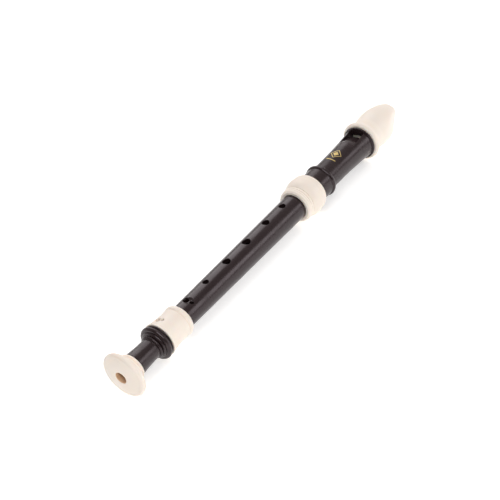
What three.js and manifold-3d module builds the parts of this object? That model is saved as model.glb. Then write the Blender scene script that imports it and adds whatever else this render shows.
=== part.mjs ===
// Soprano recorder, three-joint Baroque pattern, moulded ABS.
//
// Millimetres. The instrument lies flat with its finger holes up:
// +Y runs along the bore from the bell to the beak, +Z is the finger-hole side, +X is to the right.
// Every length below is measured along the axis from the bell's end face, and every radius from the axis.
// The origin is under the middle of the instrument, on the surface that it lies on.

import * as THREE from "three";
import { mergeVertices } from "three/addons/utils/BufferGeometryUtils.js";
import Module from "manifold-3d";

const wasm = await Module();
wasm.setup();

// ---------------------------------------------------------------- driving dimensions

const LENGTH = 330; // bell face to the tip of the beak
const GAP = 0.3; // clearance between neighbouring pieces
const FACETS = 32; // sides of every turned piece
const ARC_STEPS = 4; // straight steps in one arc of a turned outline
const DRILL_SIDES = 20; // sides of a drilled hole

// the three joints along the axis
const BELL_SEAM = 11.8; // ivory bell meets the dark foot body
const SLEEVE_SEAM = 38.7; // dark foot body meets the ivory foot sleeve
const SLEEVE_MOUTH = 61.0; // foot sleeve ends, middle joint comes out of it
const BULB_MOUTH = 194.8; // ivory bulb starts, middle joint goes into it
const BULB_END = 216.6; // bulb meets the dark collar of the head
const CAP_SEAM = 285.7; // dark flange of the head meets the ivory beak

// outer sizes
const RIM = { y: 3.4, radius: 16.4 }; // widest point of the bell
const MIDDLE_FOOT_RADIUS = 8.6; // middle joint where it leaves the foot
const MIDDLE_HEAD_RADIUS = 9.85; // middle joint where it enters the bulb
const HEAD_RADIUS = 10.3; // head tube above its bead
const HEAD_SHOULDER_RADIUS = 11.0; // head tube where the labium ramp starts
const FLANGE = { radius: 13.25, thickness: 1.4 }; // dark flange under the beak
const NECK_RADIUS = 13.4; // ivory neck behind the cap bead
const BEAK_RADIUS = 14.3; // widest point of the beak

// bore
const BELL_BORE_LOW = 4.1;
const BELL_BORE_HIGH = 4.3;
const FOOT_BORE_LOW = 4.5;
const FOOT_BORE_HIGH = 5.2;
const SLEEVE_BORE = 5.3;
const MIDDLE_BORE_LOW = 5.5;
const MIDDLE_BORE_HIGH = 6.3;
const HEAD_BORE = 6.5;

// push-fit tenons on the middle joint, with the places of their grease grooves
const FOOT_TENON = { radius: 7.3, end: 49.4, shoulder: 60.2, grooves: [51.9] };
const HEAD_TENON = { radius: 8.3, end: 213.8, shoulder: 194.9, grooves: [207.3, 210.8] };
const TENON_GROOVE = { depth: 0.35, width: 1.2 };
const SOCKET_ROOM = 1.2; // free length past the end of the head tenon

// spigots and cores, glued where one piece of a joint goes inside the next
const BELL_SPIGOT = { radius: 5.9, end: 20.0 };
const FOOT_SPIGOT = { radius: 8.2, end: 42.1 };
const CAP_CORE = { radius: 11.0, end: 301.0 }; // head tube inside the beak

// voicing: window, labium, windway and block
const WINDOW = {
  halfWidth: 6.2,
  rampStart: 268.0,
  lip: 281.5,
  lipHeight: 7.3,
  front: CAP_SEAM - FLANGE.thickness,
};
const WINDWAY = { halfWidth: 5.8, roof: 7.7, roofCurve: 14.0, height: 1.3 };
const BLOCK = { radius: HEAD_BORE - GAP, start: 286.0, end: 313.0 };

// beak: turned blank, then cut to shape from above and from underneath
const BEAK = {
  widest: 308.0,
  tipRadius: 9.0,
  tipHalfWidth: 7.1,
  tipRound: 2.0,
  cutStart: 306.8,
  cutTipHeight: 4.1,
  cutBow: 1.5,
};

// finger holes on the middle joint: distance along the axis, sideways offset and diameter
const FINGER_HOLES = [
  { y: 181.7, x: 0, diameter: 4.9 },
  { y: 160.9, x: 0, diameter: 5.4 },
  { y: 137.5, x: 0, diameter: 6.2 },
  { y: 114.2, x: 0, diameter: 5.8 },
  { y: 90.7, x: 0, diameter: 4.2 },
  { y: 70.5, x: -1.0, diameter: 4.0 },
  { y: 70.8, x: 3.2, diameter: 2.7 },
];
const THUMB_HOLE = { y: 187.5, x: 0, diameter: 5.0 };
const LITTLE_FINGER_HOLES = [
  { y: 45.2, x: -3.8, diameter: 3.6 },
  { y: 46.0, x: -0.5, diameter: 2.2 },
];

const AXIS_HEIGHT = RIM.radius * Math.cos(Math.PI / FACETS); // the rim's lowest facet lies on the surface

// ---------------------------------------------------------------- materials

const ivoryAbs = new THREE.MeshStandardMaterial({ color: 0xf1e6d6, roughness: 0.35, metalness: 0 });
const darkAbs = new THREE.MeshStandardMaterial({ color: 0x2b2224, roughness: 0.3, metalness: 0 });

// ---------------------------------------------------------------- geometry helpers

// One corner of a turned outline. With a bulge, the way to it is an arc that stands that far out
// to the right of the way along (away from the axis on an outer face).
const at = (y, radius, bulge = 0) => ({ y, radius, bulge });

function arcPoints(from, to, bulge) {
  const start = new THREE.Vector2(from.radius, from.y);
  const end = new THREE.Vector2(to.radius, to.y);
  const chord = end.clone().sub(start);
  const halfChord = chord.length() / 2;
  const height = Math.abs(bulge);
  const arcRadius = (halfChord ** 2 + height ** 2) / (2 * height);
  const outward = new THREE.Vector2(chord.y, -chord.x).normalize().multiplyScalar(Math.sign(bulge));
  const centre = start.clone().add(end).multiplyScalar(0.5).addScaledVector(outward, height - arcRadius);
  const halfAngle = Math.atan2(halfChord, arcRadius - height);
  const points = [];
  for (let step = 1; step <= ARC_STEPS; step += 1) {
    const turn = Math.sign(bulge) * halfAngle * (2 * step / ARC_STEPS - 1);
    const spoke = outward.clone().multiplyScalar(arcRadius);
    points.push(spoke.rotateAround(new THREE.Vector2(), turn).add(centre));
  }
  return points;
}

function outlinePoints(corners) {
  const points = [new THREE.Vector2(corners[0].radius, corners[0].y)];
  for (let i = 1; i < corners.length; i += 1) {
    const corner = corners[i];
    if (corner.bulge) points.push(...arcPoints(corners[i - 1], corner, corner.bulge));
    else points.push(new THREE.Vector2(corner.radius, corner.y));
  }
  return points;
}

// Turned ring: the outer outline runs from the bell end to the beak end, the bore runs back.
function turned(outer, bore) {
  const points = outlinePoints([...outer, ...bore, outer[0]]);
  return new THREE.LatheGeometry(points, FACETS, Math.PI / FACETS);
}

function solidOf(geometry) {
  const bare = geometry.clone();
  bare.deleteAttribute("normal");
  bare.deleteAttribute("uv");
  const merged = mergeVertices(bare, 1e-4);
  const corners = merged.index.array;
  const triangles = [];
  for (let i = 0; i < corners.length; i += 3) {
    const [a, b, c] = corners.slice(i, i + 3);
    if (a !== b && b !== c && c !== a) triangles.push(a, b, c);
  }
  const mesh = new wasm.Mesh({
    numProp: 3,
    vertProperties: new Float32Array(merged.attributes.position.array),
    triVerts: new Uint32Array(triangles),
  });
  return new wasm.Manifold(mesh);
}

function geometryOf(solid) {
  const mesh = solid.getMesh();
  const geometry = new THREE.BufferGeometry();
  geometry.setAttribute("position", new THREE.BufferAttribute(mesh.vertProperties, 3));
  geometry.setIndex(new THREE.BufferAttribute(mesh.triVerts, 1));
  geometry.computeVertexNormals();
  return geometry;
}

function cutAway(geometry, ...tools) {
  let solid = solidOf(geometry);
  for (const tool of tools) solid = solid.subtract(solidOf(tool));
  return geometryOf(solid);
}

// Section in the X-Z plane, extruded along Y.
function alongBore(shape, from, to) {
  const options = { depth: to - from, bevelEnabled: false, curveSegments: 10 };
  return new THREE.ExtrudeGeometry(shape, options).rotateX(Math.PI / 2).translate(0, to, 0);
}

// Side profile in the Y-Z plane, extruded along X across the whole half width each way.
function acrossBore(shape, halfWidth) {
  const geometry = new THREE.ExtrudeGeometry(shape, { depth: 2 * halfWidth, bevelEnabled: false });
  const sideways = new THREE.Matrix4().makeBasis(
    new THREE.Vector3(0, 1, 0),
    new THREE.Vector3(0, 0, 1),
    new THREE.Vector3(1, 0, 0),
  );
  return geometry.applyMatrix4(sideways).translate(-halfWidth, 0, 0);
}

// Drill from the axis out through one wall; side is 1 for the finger side and -1 for the thumb side.
function drill(hole, side = 1) {
  const reach = RIM.radius;
  const bit = new THREE.CylinderGeometry(hole.diameter / 2, hole.diameter / 2, reach, DRILL_SIDES);
  return bit.rotateX(Math.PI / 2).translate(hole.x, hole.y, side * reach / 2);
}

// ---------------------------------------------------------------- foot joint

function bell() {
  return turned(
    [
      at(0, BELL_BORE_LOW),
      at(0, 5.8),
      at(1.4, 13.7, 0.4),
      at(RIM.y, RIM.radius, 0.84),
      at(5.1, 15.6, 0.22),
      at(10.0, 9.6, -1.5),
      at(BELL_SEAM, 9.1, 0.36),
      at(BELL_SEAM, BELL_SPIGOT.radius),
      at(BELL_SPIGOT.end, BELL_SPIGOT.radius),
    ],
    [at(BELL_SPIGOT.end, BELL_BORE_HIGH)],
  );
}

function footBody() {
  const start = BELL_SEAM + GAP;
  const end = SLEEVE_SEAM - GAP;
  return turned(
    [
      at(start, 8.45),
      at(29.6, 7.37, -0.3),
      at(30.0, 7.7),
      at(32.0, 8.1, 0.8),
      at(32.35, 8.9),
      at(33.5, 9.95, 0.3),
      at(37.0, 11.4, 1.7),
      at(37.2, 11.0),
      at(end, 11.2, 0.3),
      at(end, FOOT_SPIGOT.radius),
      at(FOOT_SPIGOT.end, FOOT_SPIGOT.radius),
    ],
    [
      at(FOOT_SPIGOT.end, FOOT_BORE_HIGH),
      at(BELL_SPIGOT.end + GAP, FOOT_BORE_LOW),
      at(BELL_SPIGOT.end + GAP, BELL_SPIGOT.radius + GAP),
      at(start, BELL_SPIGOT.radius + GAP),
    ],
  );
}

function footSleeve() {
  const blank = turned(
    [
      at(SLEEVE_SEAM, 12.25),
      at(52.6, 10.95, -0.3),
      at(56.4, 11.15),
      at(56.7, 10.75),
      at(57.0, 11.15),
      at(60.9, 10.5, 0.65),
      at(SLEEVE_MOUTH, 10.2),
    ],
    [
      at(SLEEVE_MOUTH, MIDDLE_FOOT_RADIUS + GAP),
      at(FOOT_TENON.shoulder - GAP, MIDDLE_FOOT_RADIUS + GAP),
      at(FOOT_TENON.shoulder - GAP, FOOT_TENON.radius + GAP),
      at(FOOT_TENON.end - GAP, FOOT_TENON.radius + GAP),
      at(FOOT_TENON.end - GAP, SLEEVE_BORE),
      at(FOOT_SPIGOT.end + GAP, SLEEVE_BORE),
      at(FOOT_SPIGOT.end + GAP, FOOT_SPIGOT.radius + GAP),
      at(SLEEVE_SEAM, FOOT_SPIGOT.radius + GAP),
    ],
  );
  return cutAway(blank, ...LITTLE_FINGER_HOLES.map((hole) => drill(hole)));
}

// ---------------------------------------------------------------- middle joint

// Outline of a tenon's grease grooves.
function grooves(tenon) {
  const half = TENON_GROOVE.width / 2;
  const floor = tenon.radius - TENON_GROOVE.depth;
  return tenon.grooves.flatMap((middle) => [
    at(middle - half, tenon.radius),
    at(middle - half, floor),
    at(middle + half, floor),
    at(middle + half, tenon.radius),
  ]);
}

function middleJoint() {
  const blank = turned(
    [
      at(FOOT_TENON.end, FOOT_TENON.radius),
      ...grooves(FOOT_TENON),
      at(FOOT_TENON.shoulder, FOOT_TENON.radius),
      at(FOOT_TENON.shoulder, MIDDLE_FOOT_RADIUS),
      at(HEAD_TENON.shoulder, MIDDLE_HEAD_RADIUS),
      at(HEAD_TENON.shoulder, HEAD_TENON.radius),
      ...grooves(HEAD_TENON),
      at(HEAD_TENON.end, HEAD_TENON.radius),
    ],
    [at(HEAD_TENON.end, MIDDLE_BORE_HIGH), at(FOOT_TENON.end, MIDDLE_BORE_LOW)],
  );
  const fingerBits = FINGER_HOLES.map((hole) => drill(hole));
  return cutAway(blank, ...fingerBits, drill(THUMB_HOLE, -1));
}

// ---------------------------------------------------------------- head joint

function bulb() {
  return turned(
    [
      at(BULB_MOUTH, 11.9),
      at(197.1, 13.05, 0.5),
      at(198.7, 13.1, 0.25),
      at(199.0, 12.75),
      at(200.9, 12.85),
      at(212.4, 14.5, 1.3),
      at(BULB_END, 13.4, 0.5),
    ],
    [at(BULB_END, MIDDLE_HEAD_RADIUS + GAP), at(BULB_MOUTH, MIDDLE_HEAD_RADIUS + GAP)],
  );
}

// Bore section with a raised flat-sided crown for the windway: a circle that the crown stands up out of.
function crownedSection(radius, halfWidth, crownHeight, crownCurve) {
  const shoulder = Math.sqrt(radius ** 2 - halfWidth ** 2);
  const shoulderAngle = Math.atan2(shoulder, halfWidth);
  const crownAngle = Math.asin(halfWidth / crownCurve);
  const crownCentre = crownHeight - crownCurve;
  const up = Math.PI / 2;
  const section = new THREE.Shape();
  section.absarc(0, crownCentre, crownCurve, up - crownAngle, up + crownAngle, false);
  section.absarc(0, 0, radius, Math.PI - shoulderAngle, 2 * Math.PI + shoulderAngle, false);
  return section;
}

const channelSection = () => crownedSection(HEAD_BORE, WINDWAY.halfWidth, WINDWAY.roof, WINDWAY.roofCurve);

// Cut that leaves the sloping labium with its lip, and opens the bore between the lip and the windway.
function windowCut() {
  const above = BEAK_RADIUS + 2;
  const rampSlope = (HEAD_SHOULDER_RADIUS - WINDOW.lipHeight) / (WINDOW.lip - WINDOW.rampStart);
  const rampTop = WINDOW.rampStart - (above - HEAD_SHOULDER_RADIUS) / rampSlope;
  const profile = new THREE.Shape();
  profile.moveTo(rampTop, above);
  profile.lineTo(WINDOW.lip, WINDOW.lipHeight);
  profile.lineTo(WINDOW.lip, 0);
  profile.lineTo(WINDOW.front, 0);
  profile.lineTo(WINDOW.front, above);
  profile.closePath();
  return acrossBore(profile, WINDOW.halfWidth);
}

function headTube() {
  const sleeveEnd = BULB_END + GAP;
  const flangeEnd = CAP_SEAM - GAP;
  const blank = turned(
    [
      at(HEAD_TENON.shoulder + GAP, MIDDLE_HEAD_RADIUS),
      at(sleeveEnd, MIDDLE_HEAD_RADIUS),
      at(sleeveEnd, 11.45),
      at(228.6, 11.65),
      at(231.9, 11.9, 0.9),
      at(232.9, HEAD_RADIUS - 0.05),
      at(249.7, HEAD_RADIUS + 0.05),
      at(WINDOW.rampStart, HEAD_SHOULDER_RADIUS, -0.1),
      at(WINDOW.front - 0.3, 12.1, -0.15),
      at(WINDOW.front, FLANGE.radius),
      at(flangeEnd, FLANGE.radius),
      at(flangeEnd, CAP_CORE.radius),
      at(CAP_CORE.end, CAP_CORE.radius),
    ],
    [
      at(CAP_CORE.end, HEAD_BORE),
      at(HEAD_TENON.end + SOCKET_ROOM, HEAD_BORE),
      at(HEAD_TENON.end + SOCKET_ROOM, HEAD_TENON.radius + GAP),
      at(HEAD_TENON.shoulder + GAP, HEAD_TENON.radius + GAP),
    ],
  );
  const channel = alongBore(channelSection(), WINDOW.front - 1, CAP_CORE.end + 1);
  return cutAway(blank, windowCut(), channel);
}

function block() {
  const floor = WINDWAY.roof - WINDWAY.height;
  const floorCurve = WINDWAY.roofCurve - WINDWAY.height;
  const section = crownedSection(BLOCK.radius, WINDWAY.halfWidth - GAP, floor, floorCurve);
  return geometryOf(solidOf(alongBore(section, BLOCK.start, BLOCK.end)));
}

// The air slot where there is no block under it: a curved slit of even height.
function windwaySlit(from, to) {
  const outer = WINDWAY.roofCurve;
  const inner = outer - WINDWAY.height;
  const centre = WINDWAY.roof - outer;
  const roofAngle = Math.asin(WINDWAY.halfWidth / outer);
  const floorAngle = Math.asin(WINDWAY.halfWidth / inner);
  const slit = new THREE.Shape();
  slit.absarc(0, centre, outer, Math.PI / 2 - roofAngle, Math.PI / 2 + roofAngle, false);
  slit.absarc(0, centre, inner, Math.PI / 2 + floorAngle, Math.PI / 2 - floorAngle, true);
  return alongBore(slit, from, to);
}

// What the beak looks like from above: straight flanks that close in, then a rounded tip.
function beakPlan() {
  const margin = 2;
  const clear = BEAK_RADIUS + margin;
  const roundStart = LENGTH - BEAK.tipRound;
  const plan = new THREE.Shape();
  plan.moveTo(-clear, CAP_SEAM - margin);
  plan.lineTo(clear, CAP_SEAM - margin);
  plan.lineTo(clear, BEAK.widest - margin);
  plan.lineTo(BEAK_RADIUS, BEAK.widest);
  plan.lineTo(BEAK.tipHalfWidth, roundStart);
  plan.absellipse(0, roundStart, BEAK.tipHalfWidth, BEAK.tipRound, 0, Math.PI, false);
  plan.lineTo(-BEAK_RADIUS, BEAK.widest);
  plan.lineTo(-clear, BEAK.widest - margin);
  plan.closePath();
  const options = { depth: 4 * BEAK_RADIUS, bevelEnabled: false, curveSegments: 8 };
  return new THREE.ExtrudeGeometry(plan, options).translate(0, 0, -2 * BEAK_RADIUS);
}

// The slightly hollow slope that is taken off underneath, so that the beak fits the lips.
function beakUndercut() {
  const margin = 3;
  const below = -BEAK_RADIUS - margin;
  const slope = new THREE.Shape();
  slope.moveTo(BEAK.cutStart, -BEAK_RADIUS);
  const middle = (BEAK.cutStart + LENGTH) / 2;
  const middleHeight = (BEAK.cutTipHeight - BEAK_RADIUS) / 2 + BEAK.cutBow;
  slope.quadraticCurveTo(middle, middleHeight, LENGTH, BEAK.cutTipHeight);
  slope.lineTo(LENGTH + margin, BEAK.cutTipHeight + margin / 2);
  slope.lineTo(LENGTH + margin, below);
  slope.lineTo(BEAK.cutStart, below);
  slope.closePath();
  return acrossBore(slope, 2 * BEAK_RADIUS);
}

function beak() {
  const cavityEnd = CAP_CORE.end + GAP;
  const blank = turned(
    [
      at(CAP_SEAM, 13.5),
      at(290.3, 14.5, 1.5),
      at(294.7, NECK_RADIUS + 0.05, -0.36),
      at(299.4, NECK_RADIUS),
      at(BEAK.widest, BEAK_RADIUS, 0.2),
      at(LENGTH, BEAK.tipRadius, 1.34),
    ],
    [
      at(LENGTH, 0),
      at(cavityEnd, 0),
      at(cavityEnd, CAP_CORE.radius + GAP),
      at(CAP_SEAM, CAP_CORE.radius + GAP),
    ],
  );
  const shaped = solidOf(blank).intersect(solidOf(beakPlan())).subtract(solidOf(beakUndercut()));
  const pocket = solidOf(alongBore(channelSection(), cavityEnd - 1, BLOCK.end + GAP));
  const slit = solidOf(windwaySlit(BLOCK.end - 1, LENGTH + 2));
  return geometryOf(shaped.subtract(pocket).subtract(slit));
}

// ---------------------------------------------------------------- assembly

function piece(name, geometry, material) {
  const mesh = new THREE.Mesh(geometry, material);
  mesh.name = name;
  return mesh;
}

const footJoint = new THREE.Group();
footJoint.add(piece("bell", bell(), ivoryAbs));
footJoint.add(piece("foot_body", footBody(), darkAbs));
footJoint.add(piece("foot_sleeve", footSleeve(), ivoryAbs));

const headJoint = new THREE.Group();
headJoint.add(piece("bulb_ferrule", bulb(), ivoryAbs));
headJoint.add(piece("head_tube", headTube(), darkAbs));
headJoint.add(piece("windway_block", block(), ivoryAbs));
headJoint.add(piece("beak_cap", beak(), ivoryAbs));

const recorder = new THREE.Group();
recorder.add(footJoint);
recorder.add(piece("middle_joint", middleJoint(), darkAbs));
recorder.add(headJoint);
recorder.position.set(0, -LENGTH / 2, AXIS_HEIGHT);

export default recorder;
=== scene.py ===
"""Soprano recorder in ivory and brown-black ABS, lying on a pale floor.

Lengths are in millimetres, measured along the bore from the bell's end face, and radii from the bore's axis.
place() turns them into metres in the frame. +Y runs from the bell to the beak, +Z is the finger-hole side.
"""

import math

import bpy
from mathutils import Matrix, Quaternion, Vector


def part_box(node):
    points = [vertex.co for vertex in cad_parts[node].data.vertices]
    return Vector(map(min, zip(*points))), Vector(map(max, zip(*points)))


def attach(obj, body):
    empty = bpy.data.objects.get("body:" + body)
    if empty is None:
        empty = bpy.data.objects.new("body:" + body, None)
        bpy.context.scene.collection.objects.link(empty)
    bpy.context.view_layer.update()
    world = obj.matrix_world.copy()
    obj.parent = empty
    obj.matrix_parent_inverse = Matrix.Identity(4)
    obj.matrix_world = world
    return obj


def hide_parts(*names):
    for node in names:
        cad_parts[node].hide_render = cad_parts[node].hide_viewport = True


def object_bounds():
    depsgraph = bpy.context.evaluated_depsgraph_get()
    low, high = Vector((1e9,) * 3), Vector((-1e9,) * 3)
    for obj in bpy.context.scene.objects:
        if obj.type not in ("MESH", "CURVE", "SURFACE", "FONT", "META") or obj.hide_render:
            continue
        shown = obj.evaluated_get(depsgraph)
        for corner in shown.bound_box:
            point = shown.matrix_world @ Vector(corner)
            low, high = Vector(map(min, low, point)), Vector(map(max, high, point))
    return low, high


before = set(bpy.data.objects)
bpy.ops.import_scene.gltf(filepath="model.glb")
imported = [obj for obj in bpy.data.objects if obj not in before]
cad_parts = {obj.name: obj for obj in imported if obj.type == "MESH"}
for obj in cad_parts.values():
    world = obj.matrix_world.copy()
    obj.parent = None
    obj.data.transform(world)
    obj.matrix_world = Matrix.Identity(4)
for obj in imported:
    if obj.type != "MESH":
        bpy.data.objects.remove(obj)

CAD_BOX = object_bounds()
MM = 0.001

# ---------------------------------------------------------------- places from the frame

BELL_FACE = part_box("bell")[0].y
AXIS_HEIGHT = (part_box("bell")[0].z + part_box("bell")[1].z) / 2


def span(node):
    """Where a node starts and ends along the bore."""
    low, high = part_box(node)
    return (low.y - BELL_FACE) / MM, (high.y - BELL_FACE) / MM


def place(distance, radius, sideways=0.0):
    """A point above the bore's axis, in metres."""
    return Vector((sideways * MM, BELL_FACE + distance * MM, AXIS_HEIGHT + radius * MM))


def distance_of(vertex):
    """How far along the bore a vertex lies, in millimetres."""
    return (vertex.co.y - BELL_FACE) / MM


RIM_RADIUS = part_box("bell")[1].x / MM
SPIGOT_END = span("bell")[1]
FOOT_START, FOOT_END = span("foot_body")
SLEEVE_START, SLEEVE_END = span("foot_sleeve")
MIDDLE_START, MIDDLE_END = span("middle_joint")
BULB_START, BULB_END = span("bulb_ferrule")
HEAD_START, HEAD_END = span("head_tube")
BLOCK_START, BLOCK_END = span("windway_block")
BEAK_START, BEAK_END = span("beak_cap")

# ---------------------------------------------------------------- sizes

SIDES = 128  # sides of a turned piece
ARC_STEPS = 8  # straight steps in one arc of an outline
LONGEST_STEP = 2.0  # a longer straight stretch of an outline is divided
CORNER_STEPS = 3  # steps in the rounding of one corner
SMOOTH_ANGLE = math.radians(28)  # edges sharper than this stay crisp
CROWN_STEPS = 12  # steps across the windway's arch
ROUND_STEPS = 64  # steps round the block and the bore under it
SAME_POINT = 0.004 * MM  # vertices closer than this are merged
SEAM = 0.06  # gap at a glued seam
FIT = 0.12  # radial gap at a push fit
OVERCUT = 1.0  # how far a cutter reaches past what it cuts

SPIGOT_RADIUS = 5.9
FOOT_SPIGOT_RADIUS = 8.2
BELL_BORE = 4.1
FOOT_BORE = 4.5
SLEEVE_BORE = 5.3
MIDDLE_BORE_LOW = 5.5
MIDDLE_BORE_HIGH = 6.3
HEAD_BORE = 6.5

# where a closed outline starts and ends, on the wall of the bore
BELL_WALL = 10
MIDDLE_WALL = 100
HEAD_WALL = 240

MIDDLE_FOOT_RADIUS = 8.6
MIDDLE_HEAD_RADIUS = 9.85
FOOT_TENON_RADIUS = 7.3
HEAD_TENON_RADIUS = 8.3
FOOT_SHOULDER = SLEEVE_END - 0.8
HEAD_SHOULDER = BULB_START + 0.1
GREASE_GROOVE = (1.2, 0.35)  # width and depth
SOCKET_ROOM = 1.2  # free length past the end of the head tenon

CORE_RADIUS = 11.0
FLANGE_RADIUS = 13.25
FLANGE_START = BEAK_START - 1.4
RAMP_START = 268.0
RAMP_RADIUS = 11.0
LIP = 281.5
LIP_HEIGHT = 7.3
WINDOW_HALF_WIDTH = 6.2
WINDOW_EDGE = 0.22  # rounding of the window's edges
WINDOW_STRIPS = 14  # strips across the arched ramp
WINDWAY_HALF_WIDTH = 5.8
WINDWAY_ROOF = 7.7
WINDWAY_HEIGHT = 1.3
WINDWAY_CURVE = 14.0  # radius of the arch of its roof
BLOCK_GAP = 0.1
BLOCK_CHAMFER = 0.25

BEAK_WIDEST = 308.0
BEAK_RADIUS = 14.3
BEAK_TIP_RADIUS = 9.0
BEAK_TIP_HALF_WIDTH = 7.8
TIP_ROUND_IN_PLAN = 2.6
TIP_ROUND_IN_SIDE = 1.2
TIP_LEAST = 0.3  # half of the width that is left at the very tip
UNDERCUT_START = 306.8
UNDERCUT_TIP_HEIGHT = 4.1
UNDERCUT_BOW = 1.5
EDGE_CRISPNESS = 20  # higher makes the beak's long edges crisper

# holes: distance along the bore, sideways offset, diameter
FINGER_HOLES = [
    (181.7, 0.0, 4.9),
    (160.9, 0.0, 5.4),
    (137.5, 0.0, 6.2),
    (114.2, 0.0, 5.8),
    (90.7, 0.0, 4.2),
]
PAIRED_HOLES = [(70.5, -1.0, 4.0), (70.8, 3.2, 2.7)]
THUMB_HOLE = (187.5, 0.0, 5.0)
LITTLE_FINGER_HOLES = [(45.2, -3.8, 3.6), (46.0, -0.5, 2.2)]
PAIR_SINK = 0.75  # how much lower the paired holes start, in their shallow dish
HOLE_SIDES = 48
HOLE_EDGE = 0.35  # radius of the rounding round a hole
EDGE_RINGS = 5  # rings of a drill in that rounding
DRILL_RISE = 2.0  # how far a drill's flat top stands above the tube
DRILL_DEPTH = 0.8  # how far a drill goes in past its mouth, as a share of the tube's radius

# the gold emblem
EMBLEM_MIDDLE = 252.3
RULE_MIDDLE = EMBLEM_MIDDLE - 7.4
EMBLEM_TURN = math.radians(6)  # how far it sits off the top of the tube
FOIL = 0.03

# ---------------------------------------------------------------- outlines


def at(distance, radius, bulge=0.0, soften=0.0):
    """One corner of an outline. With a bulge, the way to it is an arc that stands that far out to the left
    of the way along, which is away from the axis on an outer face; soften is the size of its rounding."""
    return Vector((distance, radius)), bulge, soften


def arc(start, end, bulge):
    """The points of an arc after its start."""
    chord = end - start
    half = chord.length / 2
    height = abs(bulge)
    radius = (half**2 + height**2) / (2 * height)
    side = math.copysign(1.0, bulge)
    out = Vector((-chord.y, chord.x)).normalized() * side
    centre = (start + end) / 2 + out * (height - radius)
    half_angle = math.atan2(half, radius - height)
    turns = [side * half_angle * (1 - 2 * step / ARC_STEPS) for step in range(1, ARC_STEPS + 1)]
    return [centre + Matrix.Rotation(turn, 2) @ out * radius for turn in turns]


def straight(start, end):
    """The points of a straight stretch after its start, no more than LONGEST_STEP apart."""
    steps = math.ceil((end - start).length / LONGEST_STEP)
    return [start.lerp(end, step / steps) for step in range(1, steps + 1)]


def outline(corners):
    """All the points of an outline, and its rounded corners with their sizes."""
    points = [corners[0][0]]
    for (start, _, _), (end, bulge, _) in zip(corners, corners[1:]):
        points += arc(start, end, bulge) if bulge else straight(start, end)
    return points, [(point, size) for point, _, size in corners if size]


# ---------------------------------------------------------------- modelling by operators


def activate(piece):
    bpy.ops.object.select_all(action="DESELECT")
    piece.select_set(True)
    bpy.context.view_layer.objects.active = piece


def settle():
    """Leaves edit mode with the object at the origin and its place in its mesh."""
    bpy.ops.object.mode_set(mode="OBJECT")
    bpy.ops.object.transform_apply(location=True, rotation=True, scale=True)


def pick(piece, wanted):
    """Selects the vertices that wanted() is true for and goes into edit mode."""
    activate(piece)
    for group in (piece.data.edges, piece.data.polygons):
        group.foreach_set("select", [False] * len(group))
    for vertex in piece.data.vertices:
        vertex.select = wanted(vertex.co)
    bpy.ops.object.mode_set(mode="EDIT")
    bpy.ops.mesh.select_mode(type="VERT")


def draw(name, points):
    """A wire through the points: a small plane merged to one vertex and extruded from point to point."""
    bpy.ops.object.select_all(action="DESELECT")
    bpy.ops.mesh.primitive_plane_add(size=MM, location=points[0])
    piece = bpy.context.active_object
    piece.name = piece.data.name = name
    bpy.ops.object.mode_set(mode="EDIT")
    bpy.ops.mesh.select_mode(type="VERT")
    bpy.ops.mesh.merge(type="CENTER")
    for here, there in zip(points, points[1:]):
        bpy.ops.mesh.extrude_region_move(TRANSFORM_OT_translate={"value": there - here})
    settle()
    return piece


def close_up():
    """In edit mode: merges doubles and turns every face outwards."""
    bpy.ops.mesh.select_all(action="SELECT")
    bpy.ops.mesh.remove_doubles(threshold=SAME_POINT)
    bpy.ops.mesh.normals_make_consistent(inside=False)
    bpy.ops.object.mode_set(mode="OBJECT")


def turned(name, corners):
    """A ring: its outline is drawn, its corners are softened, and it is spun round the bore's axis."""
    points, softened = outline(corners)
    piece = draw(name, [place(*point) for point in points])
    for corner, size in softened:
        goal = place(*corner)
        pick(piece, lambda position: (position - goal).length < SAME_POINT)
        bpy.ops.mesh.bevel(affect="VERTICES", offset=size * MM, segments=CORNER_STEPS)
        bpy.ops.object.mode_set(mode="OBJECT")
    pick(piece, lambda position: True)
    bpy.ops.mesh.spin(steps=SIDES, angle=math.tau, center=place(0, 0), axis=(0, 1, 0))
    close_up()
    return piece


def prism(name, points, push):
    """A closed solid: a drawn outline, filled and extruded along push."""
    piece = draw(name, points)
    pick(piece, lambda position: True)
    bpy.ops.mesh.edge_face_add()
    bpy.ops.mesh.extrude_region_move(TRANSFORM_OT_translate={"value": push})
    close_up()
    return piece


def cut(piece, *cutters):
    """Takes the cutters away from the piece, one after another."""
    activate(piece)
    for cutter in cutters:
        modifier = piece.modifiers.new("cut", "BOOLEAN")
        modifier.operation = "DIFFERENCE"
        modifier.solver = "EXACT"
        modifier.object = cutter
        bpy.ops.object.modifier_apply(modifier=modifier.name)
        bpy.data.objects.remove(cutter)
    return piece


def sag(radius, sideways):
    """How far the skin of a round tube lies below its top at that distance sideways."""
    return radius - math.sqrt(radius**2 - sideways**2)


def edge_rings():
    """(outward, downward) places of a drill's rings in the rounding round a hole, in radii of the rounding.
    The first ring is a little outside it, so that the drill breaks through the skin cleanly."""
    rings = [(1.15, -0.35)]
    for step in range(1, EDGE_RINGS + 1):
        angle = math.radians(90 * (step + 1) / (EDGE_RINGS + 1))
        rings.append((1 - math.sin(angle), 1 - math.cos(angle)))
    return rings


def bend_to_tube(cutter, radius, side):
    """Lets a drill's mouth follow the round tube, and turns the drill over for a hole underneath."""
    flat_top = place(0, radius + DRILL_RISE / 2).z
    for vertex in cutter.data.vertices:
        if vertex.co.z < flat_top:
            vertex.co.z -= sag(radius, vertex.co.x / MM) * MM
        if side < 0:
            vertex.co.z = 2 * AXIS_HEIGHT - vertex.co.z


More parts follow.
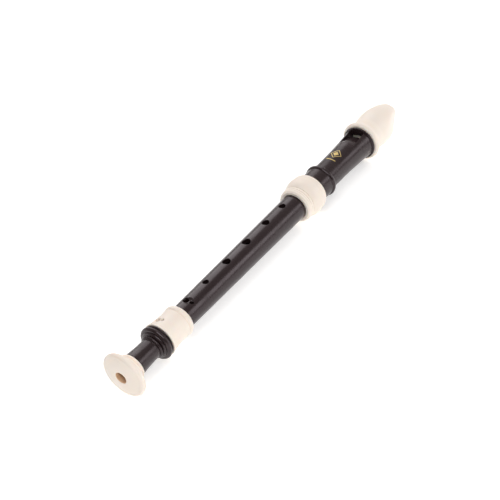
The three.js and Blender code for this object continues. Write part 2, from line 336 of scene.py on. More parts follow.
def hole_cutter(hole, radius, side=1):
    """A drill with a trumpet mouth that follows the tube, so that the hole's edge is evenly rounded."""
    distance, sideways, diameter = hole
    rings = edge_rings()
    widths = [diameter / 2 + outward * HOLE_EDGE for outward, _ in rings]
    depths = [downward for _, downward in rings]
    bpy.ops.object.select_all(action="DESELECT")
    bpy.ops.mesh.primitive_circle_add(
        vertices=HOLE_SIDES,
        radius=widths[0] * MM,
        fill_type="NGON",
        location=place(distance, radius + DRILL_RISE, sideways),
    )
    cutter = bpy.context.active_object
    centre = place(distance, 0, sideways)
    bpy.ops.object.mode_set(mode="EDIT")
    drop = DRILL_RISE + depths[0] * HOLE_EDGE
    bpy.ops.mesh.extrude_region_move(TRANSFORM_OT_translate={"value": (0, 0, -drop * MM)})
    for ring in range(1, len(rings)):
        sink = (depths[ring] - depths[ring - 1]) * HOLE_EDGE
        shrink = widths[ring] / widths[ring - 1]
        bpy.ops.mesh.extrude_region_move(TRANSFORM_OT_translate={"value": (0, 0, -sink * MM)})
        bpy.ops.transform.resize(value=(shrink, shrink, 1), center_override=centre)
    deep = radius * DRILL_DEPTH
    bpy.ops.mesh.extrude_region_move(TRANSFORM_OT_translate={"value": (0, 0, -deep * MM)})
    settle()
    bend_to_tube(cutter, radius, side)
    bpy.ops.object.mode_set(mode="EDIT")
    close_up()
    return cutter


def scoop_cutter(distance, turn, radius, length, width, depth):
    """An egg that dips into the tube's wall, turned round the bore by turn from the top."""
    bpy.ops.object.select_all(action="DESELECT")
    middle = Vector((math.sin(turn), 0, math.cos(turn))) * (radius + depth) * MM + place(distance, 0)
    bpy.ops.mesh.primitive_uv_sphere_add(segments=64, ring_count=32, radius=MM, location=middle)
    cutter = bpy.context.active_object
    cutter.scale = (width / 2, length / 2, 2 * depth)
    cutter.rotation_euler = (0, turn, 0)
    bpy.ops.object.transform_apply(location=True, rotation=True, scale=True)
    return cutter


# ---------------------------------------------------------------- foot joint


def flared_bell():
    """The bell with its rim, the groove and bead behind it, and the spigot that is glued into the foot."""
    end = FOOT_START - SEAM
    return turned("flared_bell", [
        at(BELL_WALL, BELL_BORE + 0.1),
        at(0, BELL_BORE, soften=0.35),
        at(0, 5.8),
        at(1.4, 13.7, 0.4),
        at(3.4, RIM_RADIUS, 0.84),
        at(5.1, 15.6, 0.22),
        at(9.7, 9.8, -1.5),
        at(9.9, 9.05),
        at(10.4, 9.0),
        at(10.6, 9.4),
        at(end, 9.0, 0.35),
        at(end, SPIGOT_RADIUS),
        at(SPIGOT_END, SPIGOT_RADIUS, soften=0.3),
        at(SPIGOT_END, BELL_BORE + 0.2),
        at(BELL_WALL, BELL_BORE + 0.1),
    ])


def stem_and_beads():
    """The foot's dark stem, the beads that grow towards the sleeve, and the spigot inside the sleeve."""
    end = SLEEVE_START - SEAM
    inner_end = SPIGOT_END + SEAM
    return turned("stem_and_beads", [
        at(inner_end, FOOT_BORE),
        at(inner_end, SPIGOT_RADIUS + FIT),
        at(FOOT_START, SPIGOT_RADIUS + FIT),
        at(FOOT_START, 8.45, soften=0.15),
        at(FOOT_START + 16.9, 7.4, -0.28),
        at(FOOT_START + 17.05, 7.6),
        at(FOOT_START + 17.6, 7.62, 0.12),
        at(FOOT_START + 17.85, 7.5),
        at(FOOT_START + 19.9, 8.1, 0.8),
        at(FOOT_START + 20.2, 8.9, soften=0.12),
        at(FOOT_START + 21.4, 9.95, 0.3),
        at(FOOT_START + 24.9, 11.4, 1.7),
        at(FOOT_START + 25.1, 11.0),
        at(FOOT_START + 25.3, 11.0),
        at(end, 11.3, 0.5),
        at(end, FOOT_SPIGOT_RADIUS),
        at(FOOT_END, FOOT_SPIGOT_RADIUS, soften=0.3),
        at(FOOT_END, SLEEVE_BORE - 0.1),
        at(inner_end, FOOT_BORE),
    ])


def ivory_sleeve():
    """The foot's waisted socket, a groove before the bead at its mouth, and the little finger's holes in a
    shallow dish."""
    step = FOOT_SHOULDER - SEAM
    sleeve = turned("ivory_sleeve", [
        at(MIDDLE_START - SEAM, SLEEVE_BORE),
        at(FOOT_END + SEAM, SLEEVE_BORE),
        at(FOOT_END + SEAM, FOOT_SPIGOT_RADIUS + FIT),
        at(SLEEVE_START, FOOT_SPIGOT_RADIUS + FIT),
        at(SLEEVE_START, 12.25, soften=0.25),
        at(SLEEVE_START + 13.9, 10.95, -0.3),
        at(SLEEVE_START + 17.6, 11.15),
        at(SLEEVE_START + 17.85, 10.8),
        at(SLEEVE_START + 18.15, 10.8),
        at(SLEEVE_START + 18.4, 11.15),
        at(SLEEVE_END - 0.1, 10.5, 0.65),
        at(SLEEVE_END, 10.2),
        at(SLEEVE_END, MIDDLE_FOOT_RADIUS + FIT, soften=0.25),
        at(step, MIDDLE_FOOT_RADIUS + FIT),
        at(step, FOOT_TENON_RADIUS + FIT, soften=0.2),
        at(MIDDLE_START - SEAM, FOOT_TENON_RADIUS + FIT),
        at(MIDDLE_START - SEAM, SLEEVE_BORE),
    ])
    scoop = scoop_cutter(
        SLEEVE_START + 6.9,
        turn=math.radians(-10),
        radius=11.45,
        length=6.6,
        width=9.4,
        depth=0.5,
    )
    dish_radius = 11.0
    return cut(sleeve, scoop, *[hole_cutter(hole, dish_radius) for hole in LITTLE_FINGER_HOLES])


# ---------------------------------------------------------------- middle joint


def grease_groove(middle, radius):
    """The corners of a groove in a tenon, with sides that slope a little."""
    width, depth = GREASE_GROOVE
    slope = 0.1
    return [
        at(middle - width / 2, radius, soften=0.08),
        at(middle - width / 2 + slope, radius - depth),
        at(middle + width / 2 - slope, radius - depth),
        at(middle + width / 2, radius, soften=0.08),
    ]


def middle_radius(distance):
    """The outer radius of the tapered middle joint."""
    share = (distance - FOOT_SHOULDER) / (HEAD_SHOULDER - FOOT_SHOULDER)
    return MIDDLE_FOOT_RADIUS + share * (MIDDLE_HEAD_RADIUS - MIDDLE_FOOT_RADIUS)


def finger_hole_tube():
    """The middle joint: a tapered tube with a tenon at each end, its finger holes and the thumb hole."""
    tube = turned("finger_hole_tube", [
        at(MIDDLE_WALL, MIDDLE_BORE_LOW + 0.25),
        at(MIDDLE_START, MIDDLE_BORE_LOW),
        at(MIDDLE_START, FOOT_TENON_RADIUS, soften=0.4),
        *grease_groove(MIDDLE_START + 2.5, FOOT_TENON_RADIUS),
        at(FOOT_SHOULDER, FOOT_TENON_RADIUS),
        at(FOOT_SHOULDER, MIDDLE_FOOT_RADIUS, soften=0.1),
        at(HEAD_SHOULDER, MIDDLE_HEAD_RADIUS, soften=0.15),
        at(HEAD_SHOULDER, HEAD_TENON_RADIUS),
        *grease_groove(MIDDLE_END - 6.5, HEAD_TENON_RADIUS),
        *grease_groove(MIDDLE_END - 3.0, HEAD_TENON_RADIUS),
        at(MIDDLE_END, HEAD_TENON_RADIUS, soften=0.5),
        at(MIDDLE_END, MIDDLE_BORE_HIGH, soften=0.3),
        at(MIDDLE_WALL, MIDDLE_BORE_LOW + 0.25),
    ])
    pair = PAIRED_HOLES[0][0]
    scoop = scoop_cutter(
        pair,
        turn=math.radians(7),
        radius=middle_radius(pair),
        length=7.6,
        width=10.6,
        depth=0.85,
    )
    drills = [hole_cutter(hole, middle_radius(hole[0])) for hole in FINGER_HOLES]
    drills += [hole_cutter(hole, middle_radius(pair) - PAIR_SINK) for hole in PAIRED_HOLES]
    drills.append(hole_cutter(THUMB_HOLE, middle_radius(THUMB_HOLE[0]), side=-1))
    return cut(tube, scoop, *drills)


# ---------------------------------------------------------------- head joint


def head_bulb():
    """The ivory bulb: a bead at its mouth, two fine grooves with a band between them, then the swelling."""
    bore = MIDDLE_HEAD_RADIUS + FIT
    inside = BULB_START + 10
    return turned("head_bulb", [
        at(inside, bore),
        at(BULB_START, bore, soften=0.2),
        at(BULB_START, 11.7),
        at(BULB_START + 0.3, 12.1, 0.1),
        at(BULB_START + 2.3, 13.05, 0.35),
        at(BULB_START + 3.85, 13.1, 0.25),
        at(BULB_START + 4.1, 12.5),
        at(BULB_START + 4.4, 12.5),
        at(BULB_START + 4.65, 12.85),
        at(BULB_START + 6.1, 12.9, 0.1),
        at(BULB_START + 6.3, 12.45),
        at(BULB_START + 6.5, 12.45),
        at(BULB_START + 6.75, 12.95),
        at(BULB_START + 17.6, 14.5, 1.25),
        at(BULB_END, 13.4, 0.5),
        at(BULB_END, bore),
        at(inside, bore),
    ])


def crowned_section(radius, half, crown, curve):
    """(sideways, height) points of a round section that a crown stands up out of, for the windway."""
    shoulder = math.atan2(math.sqrt(radius**2 - half**2), half)
    lean = math.asin(half / curve)
    points = []
    for step in range(CROWN_STEPS + 1):
        angle = math.pi / 2 - lean + 2 * lean * step / CROWN_STEPS
        points.append((curve * math.cos(angle), crown - curve + curve * math.sin(angle)))
    for step in range(ROUND_STEPS + 1):
        angle = math.pi - shoulder + (math.pi + 2 * shoulder) * step / ROUND_STEPS
        points.append((radius * math.cos(angle), radius * math.sin(angle)))
    return points


def along_bore(name, section, start, end):
    """A closed solid with that section across the bore."""
    points = [place(start, height, sideways) for sideways, height in section]
    return prism(name, points, Vector((0, (end - start) * MM, 0)))


def channel_cutter(start, end):
    """The bore with the windway's arch over it."""
    section = crowned_section(HEAD_BORE, WINDWAY_HALF_WIDTH, WINDWAY_ROOF, WINDWAY_CURVE)
    return along_bore("channel", section, start, end)


def window_block():
    """What is cut out of the tube for the window, with a flat ramp that runs down to the lip."""
    above = RAMP_RADIUS + 4
    slope = (RAMP_RADIUS - LIP_HEIGHT) / (LIP - RAMP_START)
    profile = [
        (RAMP_START - (above - RAMP_RADIUS) / slope, above),
        (RAMP_START, RAMP_RADIUS),
        (LIP, LIP_HEIGHT),
        (LIP, 0),
        (FLANGE_START, 0),
        (FLANGE_START, above),
    ]
    points = [place(*point, sideways=-WINDOW_HALF_WIDTH) for point in profile]
    return prism("window", points, Vector((2 * WINDOW_HALF_WIDTH * MM, 0, 0)))


def window_cutter():
    """The window's cutter with its ramp arched across, like the tube where the ramp starts and like the
    windway at the lip. It is sliced into strips that are lowered one by one."""
    cutter = window_block()
    bpy.ops.object.mode_set(mode="EDIT")
    for strip in range(1, WINDOW_STRIPS):
        sideways = WINDOW_HALF_WIDTH * (2 * strip / WINDOW_STRIPS - 1)
        bpy.ops.mesh.select_all(action="SELECT")
        bpy.ops.mesh.bisect(plane_co=place(0, 0, sideways), plane_no=(1, 0, 0))
    bpy.ops.object.mode_set(mode="OBJECT")
    for vertex in cutter.data.vertices:
        distance = distance_of(vertex)
        past = min(1.0, max(0.0, (distance - RAMP_START) / (LIP - RAMP_START)))
        curve = RAMP_RADIUS + past * (WINDWAY_CURVE - RAMP_RADIUS)
        before_flange = distance < FLANGE_START - 0.1
        above_axis = vertex.co.z > AXIS_HEIGHT + MM
        if before_flange and above_axis:
            vertex.co.z -= sag(curve, vertex.co.x / MM) * MM
    return cutter


def on_window(vertex):
    """Whether a vertex lies on the window's edges, short of the flange."""
    margin = 0.05
    distance = distance_of(vertex)
    height = (vertex.co.z - AXIS_HEIGHT) / MM
    inside = abs(vertex.co.x / MM) < WINDOW_HALF_WIDTH + margin
    return inside and RAMP_START - margin < distance < FLANGE_START - 0.4 and height > LIP_HEIGHT - 2.0


def soften_window(tube):
    """Rounds the sharp edges that the window leaves on the outside of the tube."""
    pick(tube, lambda position: False)
    bpy.ops.mesh.select_mode(type="EDGE")
    bpy.ops.mesh.edges_select_sharp(sharpness=math.radians(8))
    bpy.ops.object.mode_set(mode="OBJECT")
    for edge in tube.data.edges:
        edge.select = edge.select and all(on_window(tube.data.vertices[end]) for end in edge.vertices)
    bpy.ops.object.mode_set(mode="EDIT")
    bpy.ops.mesh.bevel(offset=WINDOW_EDGE * MM, segments=CORNER_STEPS, affect="EDGES", clamp_overlap=True)
    bpy.ops.object.mode_set(mode="OBJECT")


def head_tube_corners():
    """The head tube's outline: socket, collar, bead, tube, flange, and the core inside the beak."""
    collar = BULB_END + SEAM
    flange_end = BEAK_START - SEAM
    socket = HEAD_TENON_RADIUS + FIT
    bottom = MIDDLE_END + SOCKET_ROOM
    return [
        at(HEAD_WALL, HEAD_BORE),
        at(bottom, HEAD_BORE),
        at(bottom, socket),
        at(HEAD_START, socket, soften=0.3),
        at(HEAD_START, MIDDLE_HEAD_RADIUS, soften=0.2),
        at(collar, MIDDLE_HEAD_RADIUS),
        at(collar, 11.45, soften=0.12),
        at(collar + 11.8, 11.65),
        at(collar + 11.95, 11.95),
        at(collar + 15.2, 11.95, 0.75),
        at(collar + 16.0, 10.25, -0.25),
        at(collar + 32.8, 10.35),
        at(RAMP_START, RAMP_RADIUS, -0.1),
        at(FLANGE_START - 0.3, 12.1, -0.15),
        at(FLANGE_START, FLANGE_RADIUS, soften=0.12),
        at(flange_end, FLANGE_RADIUS, soften=0.2),
        at(flange_end, CORE_RADIUS),
        at(HEAD_END, CORE_RADIUS, soften=0.3),
        at(HEAD_END, HEAD_BORE),
        at(HEAD_WALL, HEAD_BORE),
    ]


def voiced_head_tube():
    tube = turned("voiced_head_tube", head_tube_corners())
    cut(tube, window_cutter(), channel_cutter(FLANGE_START - OVERCUT, HEAD_END + OVERCUT))
    soften_window(tube)
    return tube


def windway_floor_block():
    """The block that fills the bore under the windway, with a chamfer on its edges."""
    floor = WINDWAY_ROOF - WINDWAY_HEIGHT
    curve = WINDWAY_CURVE - WINDWAY_HEIGHT
    section = crowned_section(HEAD_BORE - BLOCK_GAP, WINDWAY_HALF_WIDTH - BLOCK_GAP, floor, curve)
    block = along_bore("windway_floor_block", section, BLOCK_START, BLOCK_END)
    modifier = block.modifiers.new("chamfer", "BEVEL")
    modifier.width = BLOCK_CHAMFER * MM
    modifier.segments = 2
    modifier.limit_method = "ANGLE"
    modifier.angle_limit = math.radians(40)
    activate(block)
    bpy.ops.object.modifier_apply(modifier=modifier.name)
    return block


# ---------------------------------------------------------------- beak


def beak_blank():
    """Outline of the beak before it is shaped, from its seam to its tip."""
    points, _ = outline([
        at(BEAK_START, 13.5),
        at(BEAK_START + 4.6, 14.5, 1.5),
        at(BEAK_START + 4.8, 14.15),
        at(BEAK_START + 9.0, 13.45, -0.36),
        at(BEAK_START + 13.7, 13.4),
        at(BEAK_WIDEST, BEAK_RADIUS, 0.2),
        at(BEAK_END, BEAK_TIP_RADIUS, 1.34),
    ])
    return points


def radius_at(points, distance):
    """The radius of an outline at a distance along the bore."""
    for start, end in zip(points, points[1:]):
        if start.x <= distance <= end.x and end.x > start.x:
            share = (distance - start.x) / (end.x - start.x)
            return start.y + share * (end.y - start.y)
    return points[-1].y


def undercut_height(distance):
    """The slightly hollow slope underneath, from the beak's belly up to its tip."""
    share = max(0.0, (distance - UNDERCUT_START) / (BEAK_END - UNDERCUT_START))
    slope = -BEAK_RADIUS + share * (UNDERCUT_TIP_HEIGHT + BEAK_RADIUS)
    return slope + 2 * UNDERCUT_BOW * share * (1 - share)


def flank_at(distance):
    """Half of the beak's width as seen from above. Well before the widest place the flanks stand clear of
    the round blank, then they taper, and they round off at the tip."""
    round_start = BEAK_END - TIP_ROUND_IN_PLAN
    if distance > round_start:
        past = (distance - round_start) / TIP_ROUND_IN_PLAN
        return TIP_LEAST + (BEAK_TIP_HALF_WIDTH - TIP_LEAST) * math.sqrt(max(0.0, 1 - past**2))
    share = (distance - BEAK_WIDEST) / (round_start - BEAK_WIDEST)
    if share <= -1:
        return 2 * BEAK_RADIUS
    return BEAK_RADIUS + share * (BEAK_TIP_HALF_WIDTH - BEAK_RADIUS)


def beak_point(blank, distance, angle):
    """Where the beak's skin lies in one direction across the bore: sideways and height from the axis.
    The round blank, the two flanks and the undercut are joined with softly rounded edges."""
    radius = radius_at(blank, distance)
    floor = undercut_height(distance)
    middle = max(0.0, (radius + floor) / 2)
    across, up = math.cos(angle), math.sin(angle)
    barely = 0.01  # a direction nearer to a face's own than this never meets it
    reaches = [-middle * up + math.sqrt(radius**2 - (middle * across) ** 2)]
    if abs(across) > barely:
        reaches.append(flank_at(distance) / abs(across))
    if distance > UNDERCUT_START and up < -barely:
        reaches.append((middle - floor) / -up)
    reach = sum(length**-EDGE_CRISPNESS for length in reaches) ** (-1 / EDGE_CRISPNESS)
    closing = max(0.0, (distance - BEAK_END + TIP_ROUND_IN_SIDE) / TIP_ROUND_IN_SIDE)
    reach *= math.sqrt(max(0.01, 1 - closing**2))
    return reach * across, middle + reach * up


def beak_stations(blank):
    """Where the beak's rings go: on the blank's corners, at even steps, and closer together at the tip."""
    even_step, least_step = 0.8, 0.04
    tip_steps, tip_angle = 8, 11
    digits = 3
    stations = {round(point.x, digits) for point in blank}
    stations |= {round(BEAK_WIDEST - 8 + even_step * step, digits) for step in range(36)}
    for step in range(1, tip_steps + 1):
        angle = math.radians(tip_angle * step)
        stations.add(round(BEAK_END - TIP_ROUND_IN_PLAN * (1 - math.sin(angle)), digits))
    spread = []
    for station in sorted(stations):
        if station <= BEAK_END and (not spread or station - spread[-1] > least_step):
            spread.append(station)
    return spread


def slit_cutter():
    """The air slot between the block and the tip, a curved slit of even height."""
    section = []
    for curve, order in ((WINDWAY_CURVE, 1), (WINDWAY_CURVE - WINDWAY_HEIGHT, -1)):
        lean = math.asin(WINDWAY_HALF_WIDTH / curve)
        for step in range(CROWN_STEPS + 1):
            angle = math.pi / 2 + order * lean * (1 - 2 * step / CROWN_STEPS)
            height = WINDWAY_ROOF - WINDWAY_CURVE + curve * math.sin(angle)
            section.append((curve * math.cos(angle), height))
    return along_bore("slit", section, BLOCK_END - OVERCUT, BEAK_END + 2 * OVERCUT)


def rod_cutter(radius, start, end):
    """A round rod along the bore."""
    bpy.ops.object.select_all(action="DESELECT")
    bpy.ops.mesh.primitive_cylinder_add(
        vertices=SIDES,
        radius=radius * MM,
        depth=(end - start) * MM,
        location=place((start + end) / 2, 0),
        rotation=(math.pi / 2, 0, 0),
    )
    bpy.ops.object.transform_apply(location=True, rotation=True, scale=True)
    return bpy.context.active_object


def round_bar(name, stations):
    """A round bar with a ring of vertices at each station."""
    bpy.ops.object.select_all(action="DESELECT")
    bpy.ops.mesh.primitive_circle_add(
        vertices=SIDES,
        radius=BEAK_RADIUS * MM,
        fill_type="NGON",
        location=place(stations[0], 0),
        rotation=(math.pi / 2, 0, 0),
    )
    bar = bpy.context.active_object
    bar.name = bar.data.name = name
    bpy.ops.object.mode_set(mode="EDIT")
    for here, there in zip(stations, stations[1:]):
        bpy.ops.mesh.extrude_region_move(TRANSFORM_OT_translate={"value": (0, (there - here) * MM, 0)})
    settle()
    return bar


def ivory_beak():
    """A bar whose rings are moved to the beak's skin, then bored out for the core, the block and the air."""
    blank = beak_blank()
    beak = round_bar("ivory_beak", beak_stations(blank))
    for vertex in beak.data.vertices:
        distance = distance_of(vertex)
        angle = math.atan2(vertex.co.z - AXIS_HEIGHT, vertex.co.x)
        sideways, height = beak_point(blank, distance, angle)
        vertex.co = place(distance, height, sideways)
    bpy.ops.object.mode_set(mode="EDIT")
    close_up()
    cavity = HEAD_END + SEAM
    cut(
        beak,
        rod_cutter(CORE_RADIUS + FIT, BEAK_START - 5 * OVERCUT, cavity),
        channel_cutter(cavity - OVERCUT, BLOCK_END + SEAM),
        slit_cutter(),
    )
    pick(beak, lambda position: True)
    close_up()
    return beak


# ---------------------------------------------------------------- gold emblem


def flat_frame(name, centre, half_length, half_width, line):
    """A lozenge that lies flat over the tube: open with that line width, or filled when line is 0."""
    bpy.ops.object.select_all(action="DESELECT")
    bpy.ops.mesh.primitive_circle_add(vertices=4, radius=MM, fill_type="NGON", location=centre)
    lozenge = bpy.context.active_object
    lozenge.name = name
    bpy.ops.object.mode_set(mode="EDIT")
    bpy.ops.transform.resize(value=(half_width, half_length, 1), center_override=centre)
    if line:
        bpy.ops.mesh.inset(thickness=line * MM)
        bpy.ops.mesh.delete(type="FACE")
    bpy.ops.mesh.select_all(action="SELECT")
    bpy.ops.mesh.subdivide(number_cuts=7)
    settle()
    return lozenge


def flat_rule(name, centre, half_length, half_width):
    """A short bar that lies flat over the tube, across it."""
    bpy.ops.object.select_all(action="DESELECT")
    bpy.ops.mesh.primitive_plane_add(size=2 * MM, location=centre)
    rule = bpy.context.active_object
    rule.name = name
    bpy.ops.object.mode_set(mode="EDIT")
    bpy.ops.transform.resize(value=(half_width, half_length, 1), center_override=centre)
    bpy.ops.mesh.subdivide(number_cuts=15)
    settle()
    return rule


def gold_emblem():
    """A plain lozenge over a rule, hot-stamped on the head tube and turned a little off its top."""
    middle = place(EMBLEM_MIDDLE, 0)
    parts = [
        flat_frame("gold_emblem", middle, half_length=5.0, half_width=4.8, line=0.6),
        flat_frame("gold_core", middle, half_length=2.4, half_width=2.3, line=0),
        flat_rule("gold_rule", place(RULE_MIDDLE, 0), half_length=0.45, half_width=4.0),
    ]
    bpy.ops.object.select_all(action="DESELECT")
    for part in parts:
        part.select_set(True)
    emblem = parts[0]
    bpy.context.view_layer.objects.active = emblem
    bpy.ops.object.join()
    skin, _ = outline(head_tube_corners())
    for vertex in emblem.data.vertices:
        distance = distance_of(vertex)
        radius = radius_at(skin, distance) + FOIL
        angle = vertex.co.x / MM / radius + EMBLEM_TURN
        vertex.co = place(distance, radius * math.cos(angle), radius * math.sin(angle))
    modifier = emblem.modifiers.new("film", "SOLIDIFY")
    modifier.thickness = FOIL * MM
    modifier.offset = 0
    bpy.ops.object.modifier_apply(modifier=modifier.name)
    return emblem


# ---------------------------------------------------------------- materials


def linear(hex_colour):
    """An sRGB hex colour as linear RGBA."""
    channels = [int(hex_colour[i:i + 2], 16) / 255 for i in (1, 3, 5)]
    return [c / 12.92 if c <= 0.04045 else ((c + 0.055) / 1.055) ** 2.4 for c in channels] + [1.0]


def add(tree, kind, inputs=None, **settings):
    """Adds one node. inputs maps a socket to its value, or to the output that feeds it."""
    made = tree.nodes.new(kind)
    for name, value in settings.items():
        setattr(made, name, value)
    for socket, value in (inputs or {}).items():
        if isinstance(value, bpy.types.NodeSocket):
            tree.links.new(value, made.inputs[socket])
        else:
            made.inputs[socket].default_value = value
    return made


def new_material(name):
    """An empty material, its node tree and the place on the object that its patterns follow."""
    material = bpy.data.materials.new(name)
    material.use_nodes = True
    tree = material.node_tree
    tree.nodes.clear()
    return material, tree, add(tree, "ShaderNodeTexCoord").outputs["Object"]


def noise(tree, place_in, size, detail):
    """Soft noise from 0 to 1, its clouds about that size in metres."""
    made = add(tree, "ShaderNodeTexNoise", {"Vector": place_in, "Scale": 1 / size, "Detail": detail})
    return made.outputs["Fac"]


def ramp(tree, value, low, high, at_low, at_high):
    """A level that goes from at_low to at_high as the value goes from low to high."""
    made = add(tree, "ShaderNodeMapRange", {"Value": value, 1: low, 2: high, 3: at_low, 4: at_high})
    return made.outputs[0]


def blend(tree, share, first, second):
    """The first colour where share is 0, the second where it is 1."""
    return add(tree, "ShaderNodeMix", {0: share, 6: first, 7: second}, data_type="RGBA").outputs[2]


def relief(tree, height, strength, distance):
    """Faint bumps from a noise."""
    made = add(tree, "ShaderNodeBump", {"Height": height, "Strength": strength, "Distance": distance})
    return made.outputs[0]


def surface(tree, inputs):
    """One shader with those inputs, as the material's surface."""
    shader = add(tree, "ShaderNodeBsdfPrincipled", inputs)
    add(tree, "ShaderNodeOutputMaterial", {"Surface": shader.outputs[0]})


def bell_bore_shade_mask(tree, place_in):
    """1 on the wall of the bell's bore, where painted shade goes, 0 everywhere else."""
    from_axis = add(tree, "ShaderNodeMapping", {
        "Vector": place_in,
        "Location": (0.0, 0.0, -AXIS_HEIGHT),
        "Scale": (1.0, 0.0, 1.0),
    }).outputs[0]
    away = add(tree, "ShaderNodeVectorMath", {0: from_axis}, operation="LENGTH").outputs["Value"]
    narrow = ramp(tree, away, (BELL_BORE + 0.1) * MM, (BELL_BORE + 0.4) * MM, 1.0, 0.0)
    along = add(tree, "ShaderNodeSeparateXYZ", {"Vector": place_in}).outputs["Y"]
    past_spigot = place(SPIGOT_END + 1, 0).y
    low = add(tree, "ShaderNodeMath", {0: along, 1: past_spigot}, operation="LESS_THAN").outputs[0]
    return add(tree, "ShaderNodeMath", {0: narrow, 1: low}, operation="MULTIPLY").outputs[0]


def moulded_abs(name, colour, shade, edge, deep, gleam, roughness, subsurface):
    """ABS from a polished mould: an even, slightly waxy gloss. Faint flow clouds run along the part,
    handling leaves softer patches in the gloss, and the thin edges of beads and holes are lighter, in the
    edge tone.
    The bell's bore and the turned grooves take the deep tone, which is painted shade, warmed like light
    bouncing in them."""
    material, tree, place_in = new_material(name)
    stretched = add(tree, "ShaderNodeMapping", {"Vector": place_in, "Scale": (1.0, 0.3, 1.0)}).outputs[0]
    flow = noise(tree, stretched, size=14 * MM, detail=3.0)
    patches = noise(tree, place_in, size=9 * MM, detail=2.0)
    grain = noise(tree, stretched, size=0.6 * MM, detail=2.0)
    clouds = blend(tree, flow, linear(colour), linear(shade))
    shape = add(tree, "ShaderNodeNewGeometry").outputs["Pointiness"]
    # The edge tone is laid on sharp convex edges, where pointiness is high, making them lighter.
    convex_edge_share = ramp(tree, shape, 0.52, 0.62, 0.0, 0.6)
    edge_toned_colour = blend(tree, convex_edge_share, clouds, linear(edge))
    # Painted shade: the deep tone goes into concave creases (grooves) and onto the wall of the bell's bore
    # (bore).
    grooves = ramp(tree, shape, 0.4, 0.48, 0.5, 0.0)
    bore = bell_bore_shade_mask(tree, place_in)
    painted_shade_share = add(tree, "ShaderNodeMath", {0: grooves, 1: bore}, operation="MAXIMUM").outputs[0]
    surface(tree, {
        "Base Color": blend(tree, painted_shade_share, edge_toned_colour, linear(deep)),
        "Roughness": ramp(tree, patches, 0.3, 0.7, roughness - 0.04, roughness + 0.05),
        "IOR": 1.5,
        "Specular Tint": linear(gleam),
        "Subsurface Weight": subsurface,
        "Subsurface Radius": (1.0, 0.7, 0.45),
        "Subsurface Scale": 1.2 * MM,
        "Normal": relief(tree, grain, strength=0.04, distance=0.02 * MM),
    })
    return material


def stamped_gold_foil():
    """Hot-stamped gold foil: metallic, with the satin of the plastic under it and a slightly broken coat."""
    material, tree, place_in = new_material("hot_stamped_gold_foil")
    specks = noise(tree, place_in, size=0.5 * MM, detail=3.0)
    surface(tree, {
        "Base Color": blend(tree, specks, linear("#e3cf92"), linear("#b79a58")),
        "Metallic": 0.7,
        "Roughness": ramp(tree, specks, 0.0, 1.0, 0.35, 0.55),
    })
    return material


def backlit_paper():
    """White backdrop paper, matt, with a very faint tooth, glowing faintly as if over a dim light table:
    painted light that fills in the recorder's shadow on it.
    """
    material, tree, place_in = new_material("backlit_white_paper")
    tooth = noise(tree, place_in, size=1.5 * MM, detail=2.0)
    surface(tree, {
        "Base Color": linear("#fbfbfa"),
        "Roughness": 0.9,
        # Painted light: the paper's own glow lifts the shadow under the recorder and lights its underside.
        "Emission Color": linear("#ffffff"),
        "Emission Strength": 0.43,
        "Normal": relief(tree, tooth, strength=0.05, distance=0.05 * MM),
    })
    return material


# ---------------------------------------------------------------- assembly


def fit_out(piece, material, body, slot, *nodes):
    """Gives a finished piece its material, its body and the nodes that it stands for."""
    activate(piece)
    bpy.ops.object.shade_smooth_by_angle(angle=SMOOTH_ANGLE)
    piece.data.materials.clear()
    piece.data.materials.append(material)
    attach(piece, body)
    if nodes:
        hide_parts(*nodes)


IVORY = moulded_abs(
    "injection_moulded_ivory_abs",
    colour="#f7ede2",
    shade="#f3e6d9",
    edge="#faf3ea",
    # deep: painted shade for the grooves and the bell's bore
    deep="#dfbc9a",
    gleam="#ffffff",
    roughness=0.36,
    subsurface=0.18,
)
DARK = moulded_abs(
    "injection_moulded_brown_black_abs",
    colour="#271c1c",
    shade="#1f1616",
    edge="#33282a",
    # deep: painted shade for the grooves
    deep="#140d0e",
    gleam="#fff1f7",
    roughness=0.25,
    subsurface=0.0,
)

fit_out(flared_bell(), IVORY, "foot", "ivory_abs", "bell")
fit_out(stem_and_beads(), DARK, "foot", "dark_abs", "foot_body")
fit_out(ivory_sleeve(), IVORY, "foot", "ivory_abs", "foot_sleeve")
fit_out(finger_hole_tube(), DARK, "middle", "dark_abs", "middle_joint")
fit_out(head_bulb(), IVORY, "head", "ivory_abs", "bulb_ferrule")
fit_out(voiced_head_tube(), DARK, "head", "dark_abs", "head_tube")
fit_out(windway_floor_block(), IVORY, "head", "ivory_abs", "windway_block")
fit_out(ivory_beak(), IVORY, "head", "ivory_abs", "beak_cap")
fit_out(gold_emblem(), stamped_gold_foil(), "head", "dark_abs")

# ---------------------------------------------------------------- floor, lights and camera


def direction(azimuth, elevation):
    """The way from the object to something round it: azimuth 0 is the bell's side, 90 is +X, in degrees."""
    turn, lift = math.radians(azimuth), math.radians(elevation)
    return Vector((math.sin(turn) * math.cos(lift), -math.cos(turn) * math.cos(lift), math.sin(lift)))


def lay_floor():
    """A floor wide enough that its edge stays out of the picture from most sides."""
    bpy.ops.object.select_all(action="DESELECT")
    bpy.ops.mesh.primitive_plane_add(size=12, location=(0, 0, CAD_BOX[0].z))
    floor = bpy.context.active_object
    floor.name = "backdrop_floor"
    bpy.ops.object.transform_apply(location=True, rotation=True, scale=True)
    floor.data.materials.append(backlit_paper())


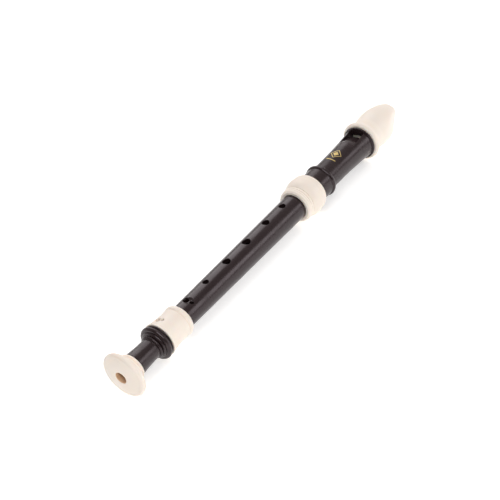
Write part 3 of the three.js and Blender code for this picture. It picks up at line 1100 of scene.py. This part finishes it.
def softbox(name, azimuth, elevation, distance, size, power):
    """A soft rectangular light that faces the middle of the recorder, its long side along the bore."""
    light = bpy.data.lights.new(name, "AREA")
    light.shape = "RECTANGLE"
    light.size, light.size_y = size
    light.energy = power
    lamp = bpy.data.objects.new(name, light)
    bpy.context.scene.collection.objects.link(lamp)
    way = direction(azimuth, elevation)
    lamp.location = way * distance
    across = way.cross(Vector((0, 1, 0))).normalized()
    along = across.cross(way).normalized()
    lamp.rotation_euler = Matrix((across, along, way)).transposed().to_euler()


def light_room():
    """A pale room, darker behind the camera so that faces turned to it stay deep, and four softboxes."""
    world = bpy.data.worlds.new("pale_room")
    world.use_nodes = True
    tree = world.node_tree
    way = add(tree, "ShaderNodeTexCoord").outputs["Generated"]
    facing = add(tree, "ShaderNodeVectorMath", {0: way, 1: direction(43, 25)}, operation="DOT_PRODUCT")
    level = ramp(tree, facing.outputs["Value"], -0.1, 0.8, 0.55, 0.04)
    background = tree.nodes["Background"]
    background.inputs["Color"].default_value = linear("#fff9f7")
    tree.links.new(level, background.inputs["Strength"])
    bpy.context.scene.world = world
    softbox("rear_left_softbox", azimuth=-139, elevation=38, distance=1.5, size=(1.2, 1.6), power=13)
    softbox("rear_left_strip", azimuth=-141, elevation=22, distance=1.5, size=(0.2, 1.2), power=5)
    softbox("rear_right_strip", azimuth=130, elevation=20, distance=1.5, size=(0.5, 1.6), power=6.8)
    softbox("front_key", azimuth=40, elevation=54, distance=1.6, size=(1.3, 1.3), power=20)


def stand_camera():
    """The camera looks down at the bell's right, rolled a little, with the recorder rising to the right."""
    camera = bpy.data.cameras.new("camera")
    camera.lens = 83.9
    camera.shift_x = -0.0014
    stand = bpy.data.objects.new("camera", camera)
    bpy.context.scene.collection.objects.link(stand)
    way = direction(42.67, 36.0)
    aim = place(140.2, 0)
    metres_away = 0.8033
    stand.location = aim + way * metres_away
    roll = Quaternion((0, 0, 1), math.radians(-12.12))
    stand.rotation_euler = (way.to_track_quat("Z", "Y") @ roll).to_euler()
    bpy.context.scene.camera = stand


lay_floor()
light_room()
stand_camera()
bpy.context.scene.view_settings.view_transform = "Standard"
